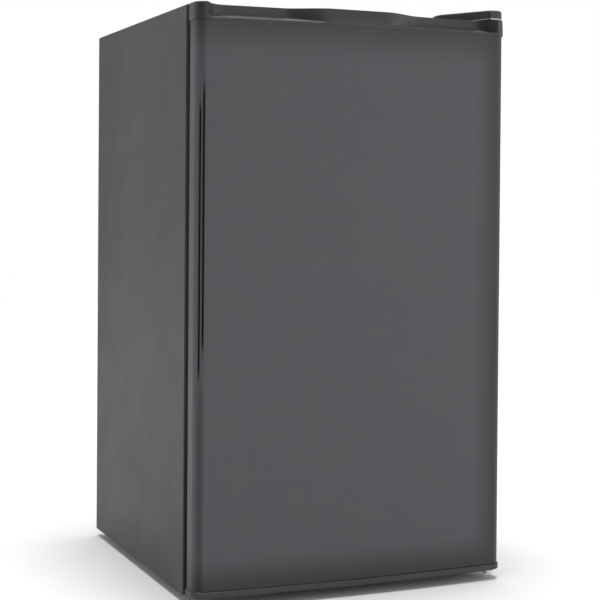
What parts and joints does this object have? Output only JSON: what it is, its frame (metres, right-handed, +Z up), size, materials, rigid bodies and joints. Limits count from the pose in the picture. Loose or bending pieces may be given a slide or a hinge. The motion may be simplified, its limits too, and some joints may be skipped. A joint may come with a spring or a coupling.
{
  "type": "mini fridge",
  "caption": "Free-standing compact refrigerator with one bowed, right-hinged door, finger scoops in its top cap, an inner freezer box with a flap, shelves, door racks and a rear compressor bay.",
  "frame": {"origin": "on the floor, under the middle of the overall box", "axes": "+X to the right as one faces the door, +Y to the back, +Z up; the door faces -Y"},
  "size_m": [0.493, 0.5206, 0.86],
  "materials": {
    "black_steel": "satin",
    "black_plastic": "satin",
    "white_plastic": "satin",
    "clear_plastic": "gloss",
    "shelf_glass": "gloss",
    "foam": "matte",
    "galvanised_steel": "satin",
    "zinc_plate": "satin",
    "aluminium": "satin",
    "copper": "satin",
    "black_enamel": "satin",
    "rubber": "matte"
  },
  "bodies": {
    "cabinet": {"cabinet_wrap": "black_steel", "back_panel": "galvanised_steel", "front_cross_rail": "galvanised_steel", "base_pan": "galvanised_steel", "insulation_foam": "foam", "inner_liner": "white_plastic", "hinge_hole_plug_1": "black_plastic", "hinge_hole_plug_2": "black_plastic", "rear_foot_left": "black_plastic", "rear_foot_right": "black_plastic", "top_hinge_bracket": "zinc_plate", "top_hinge_pin": "zinc_plate", "top_hinge_screw_1": "zinc_plate", "top_hinge_screw_2": "zinc_plate", "top_hinge_cover": "black_plastic", "bottom_hinge_bracket": "zinc_plate", "bottom_hinge_pin": "zinc_plate", "bottom_hinge_screw_1": "zinc_plate", "bottom_hinge_screw_2": "zinc_plate", "compressor_crossbar": "galvanised_steel", "compressor": "black_enamel", "compressor_grommet_1": "rubber", "compressor_grommet_2": "rubber", "compressor_grommet_3": "rubber", "compressor_grommet_4": "rubber", "relay_cover": "black_plastic", "suction_tube": "copper", "discharge_tube": "copper", "process_tube": "copper", "filter_drier": "copper", "condenser_coil_left": "copper", "condenser_coil_right": "copper", "cord_gland": "black_plastic", "evaporator_box": "aluminium", "evaporator_frame": "white_plastic", "shelf_glass_upper": "shelf_glass", "shelf_trim_upper": "white_plastic", "shelf_glass_lower": "shelf_glass", "shelf_trim_lower": "white_plastic", "thermostat_housing": "white_plastic"},
    "door": {"door_panel": "black_steel", "door_top_cap": "black_plastic", "door_bottom_cap": "black_plastic", "door_bushing_top": "white_plastic", "door_bushing_bottom": "white_plastic", "door_cap_plug": "black_plastic", "door_foam": "foam", "door_liner": "white_plastic", "door_gasket": "rubber", "door_rack_upper": "clear_plastic", "door_rack_middle": "clear_plastic", "door_rack_bottle": "clear_plastic"},
    "freezer_flap": {"freezer_flap": "clear_plastic"},
    "drip_tray": {"drip_tray": "clear_plastic"},
    "thermostat_knob": {"thermostat_knob": "white_plastic"},
    "front_foot_left": {"front_foot_left": "black_plastic"},
    "front_foot_right": {"front_foot_right": "black_plastic"}
  },
  "joints": [
    {"name": "door_hinge", "type": "hinge", "parent": "cabinet", "child": "door", "pos_m": [0.2325, -0.232, 0.43], "axis": [0, 0, 1], "range_deg": [0, 120]},
    {"name": "freezer_flap_hinge", "type": "hinge", "parent": "cabinet", "child": "freezer_flap", "pos_m": [0, -0.064, 0.674], "axis": [1, 0, 0], "range_deg": [0, 90]},
    {"name": "drip_tray_slide", "type": "slide", "parent": "cabinet", "child": "drip_tray", "axis": [0, -1, 0], "range_m": [0, 0.12]},
    {"name": "thermostat_turn", "type": "hinge", "parent": "cabinet", "child": "thermostat_knob", "pos_m": [0.19, -0.044, 0.59], "axis": [0, -1, 0], "range_deg": [0, 300]},
    {"name": "front_foot_left_turn", "type": "hinge", "parent": "cabinet", "child": "front_foot_left", "pos_m": [-0.205, -0.14775, 0.004], "axis": [0, 0, 1], "continuous": true},
    {"name": "front_foot_right_turn", "type": "hinge", "parent": "cabinet", "child": "front_foot_right", "pos_m": [0.205, -0.14775, 0.004], "axis": [0, 0, 1], "continuous": true}
  ]
}
